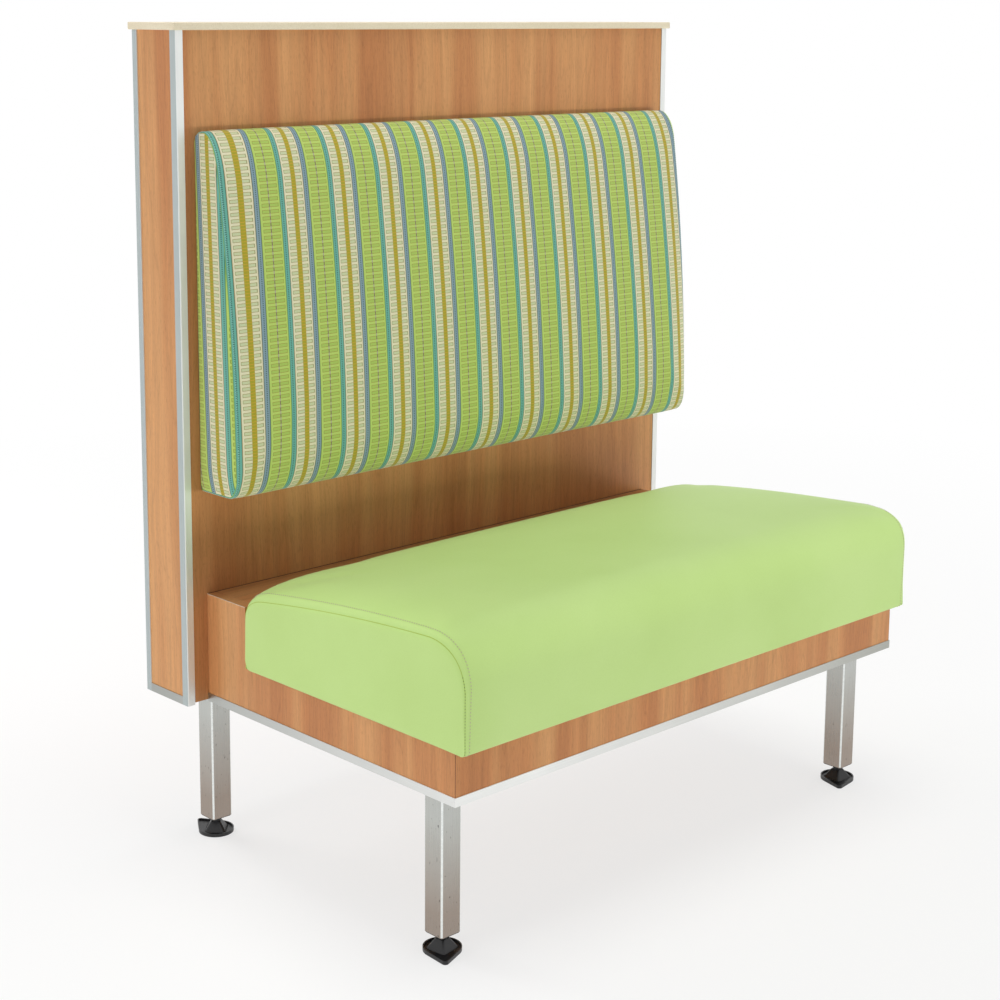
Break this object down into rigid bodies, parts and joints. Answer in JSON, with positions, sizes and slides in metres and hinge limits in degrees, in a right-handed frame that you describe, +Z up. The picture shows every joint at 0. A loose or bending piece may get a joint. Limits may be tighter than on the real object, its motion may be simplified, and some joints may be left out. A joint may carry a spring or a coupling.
{
  "type": "restaurant booth seat",
  "caption": "Free-standing restaurant booth: panelled back wall, wedge back cushion, seat box with crowned cushion, square metal legs on screw-in levelling feet.",
  "frame": {"origin": "on the floor, under the middle of the whole object's box", "axes": "+Z up, +X to the sitter's left hand when seated, -Y the way the sitter faces"},
  "size_m": [1.075, 0.6948, 1.262],
  "materials": {
    "laminated_board": "satin",
    "plywood": "matte",
    "cap_laminate": "satin",
    "aluminium_trim": "satin",
    "leg_metal": "satin",
    "zinc_plated_steel": "satin",
    "plug_plastic": "matte",
    "foot_plastic": "satin",
    "green_vinyl": "satin",
    "striped_fabric": "matte",
    "foam": "matte"
  },
  "bodies": {
    "booth": {"back_cushion_bolts": "zinc_plated_steel", "back_cushion_cover": "striped_fabric", "back_cushion_foam": "foam", "back_cushion_plywood": "plywood", "base_trim_front": "aluminium_trim", "base_trim_left": "aluminium_trim", "base_trim_right": "aluminium_trim", "corner_trim_front_left": "aluminium_trim", "corner_trim_front_right": "aluminium_trim", "corner_trim_rear_left": "aluminium_trim", "corner_trim_rear_right": "aluminium_trim", "deck_batten": "plywood", "front_leg_rail": "plywood", "ledge_riser": "plywood", "ledge_top": "laminated_board", "leg_plate_front_left": "leg_metal", "leg_plate_front_right": "leg_metal", "leg_plate_rear_left": "leg_metal", "leg_plate_rear_right": "leg_metal", "leg_plate_screws": "zinc_plated_steel", "leg_plug_front_left": "plug_plastic", "leg_plug_front_right": "plug_plastic", "leg_plug_rear_left": "plug_plastic", "leg_plug_rear_right": "plug_plastic", "leg_tube_front_left": "leg_metal", "leg_tube_front_right": "leg_metal", "leg_tube_rear_left": "leg_metal", "leg_tube_rear_right": "leg_metal", "seat_bolts": "zinc_plated_steel", "seat_cushion_cover": "green_vinyl", "seat_cushion_foam": "foam", "seat_cushion_plywood": "plywood", "seat_cushion_screws": "zinc_plated_steel", "seat_deck": "plywood", "seat_front_panel": "laminated_board", "seat_rear_panel": "plywood", "seat_side_panel_left": "laminated_board", "seat_side_panel_right": "laminated_board", "wall_bottom_rail": "plywood", "wall_cap": "cap_laminate", "wall_end_panel_left": "laminated_board", "wall_end_panel_right": "laminated_board", "wall_end_trim_left": "aluminium_trim", "wall_end_trim_right": "aluminium_trim", "wall_front_panel": "laminated_board", "wall_lower_cushion_rail": "plywood", "wall_rear_panel": "laminated_board", "wall_seat_rail": "plywood", "wall_stile_left": "plywood", "wall_stile_right": "plywood", "wall_top_rail": "plywood", "wall_upper_cushion_rail": "plywood"},
    "front_left_foot": {"foot_pad_front_left": "foot_plastic"},
    "front_left_stud": {"foot_stud_front_left": "zinc_plated_steel"},
    "front_right_foot": {"foot_pad_front_right": "foot_plastic"},
    "front_right_stud": {"foot_stud_front_right": "zinc_plated_steel"},
    "rear_left_foot": {"foot_pad_rear_left": "foot_plastic"},
    "rear_left_stud": {"foot_stud_rear_left": "zinc_plated_steel"},
    "rear_right_foot": {"foot_pad_rear_right": "foot_plastic"},
    "rear_right_stud": {"foot_stud_rear_right": "zinc_plated_steel"}
  },
  "joints": [
    {"name": "front_left_foot_height", "type": "slide", "parent": "booth", "child": "front_left_foot", "axis": [0, 0, 1], "range_m": [-0.0151, 0.0053]},
    {"name": "front_left_stud_turn", "type": "hinge", "parent": "front_left_foot", "child": "front_left_stud", "pos_m": [-0.456, -0.2524, 0.02], "axis": [0, 0, 1], "range_deg": [-3600, 1260]},
    {"name": "front_right_foot_height", "type": "slide", "parent": "booth", "child": "front_right_foot", "axis": [0, 0, 1], "range_m": [-0.0151, 0.0053]},
    {"name": "front_right_stud_turn", "type": "hinge", "parent": "front_right_foot", "child": "front_right_stud", "pos_m": [0.456, -0.2524, 0.02], "axis": [0, 0, 1], "range_deg": [-3600, 1260]},
    {"name": "rear_left_foot_height", "type": "slide", "parent": "booth", "child": "rear_left_foot", "axis": [0, 0, 1], "range_m": [-0.0151, 0.0053]},
    {"name": "rear_left_stud_turn", "type": "hinge", "parent": "rear_left_foot", "child": "rear_left_stud", "pos_m": [-0.4495, 0.2826, 0.02], "axis": [0, 0, 1], "range_deg": [-3600, 1260]},
    {"name": "rear_right_foot_height", "type": "slide", "parent": "booth", "child": "rear_right_foot", "axis": [0, 0, 1], "range_m": [-0.0151, 0.0053]},
    {"name": "rear_right_stud_turn", "type": "hinge", "parent": "rear_right_foot", "child": "rear_right_stud", "pos_m": [0.4495, 0.2826, 0.02], "axis": [0, 0, 1], "range_deg": [-3600, 1260]}
  ],
  "couplings": [
    {"joint": "front_left_foot_height", "follows": "front_left_stud_turn", "m_per_rad": 0.00023873},
    {"joint": "front_right_foot_height", "follows": "front_right_stud_turn", "m_per_rad": 0.00023873},
    {"joint": "rear_left_foot_height", "follows": "rear_left_stud_turn", "m_per_rad": 0.00023873},
    {"joint": "rear_right_foot_height", "follows": "rear_right_stud_turn", "m_per_rad": 0.00023873}
  ]
}
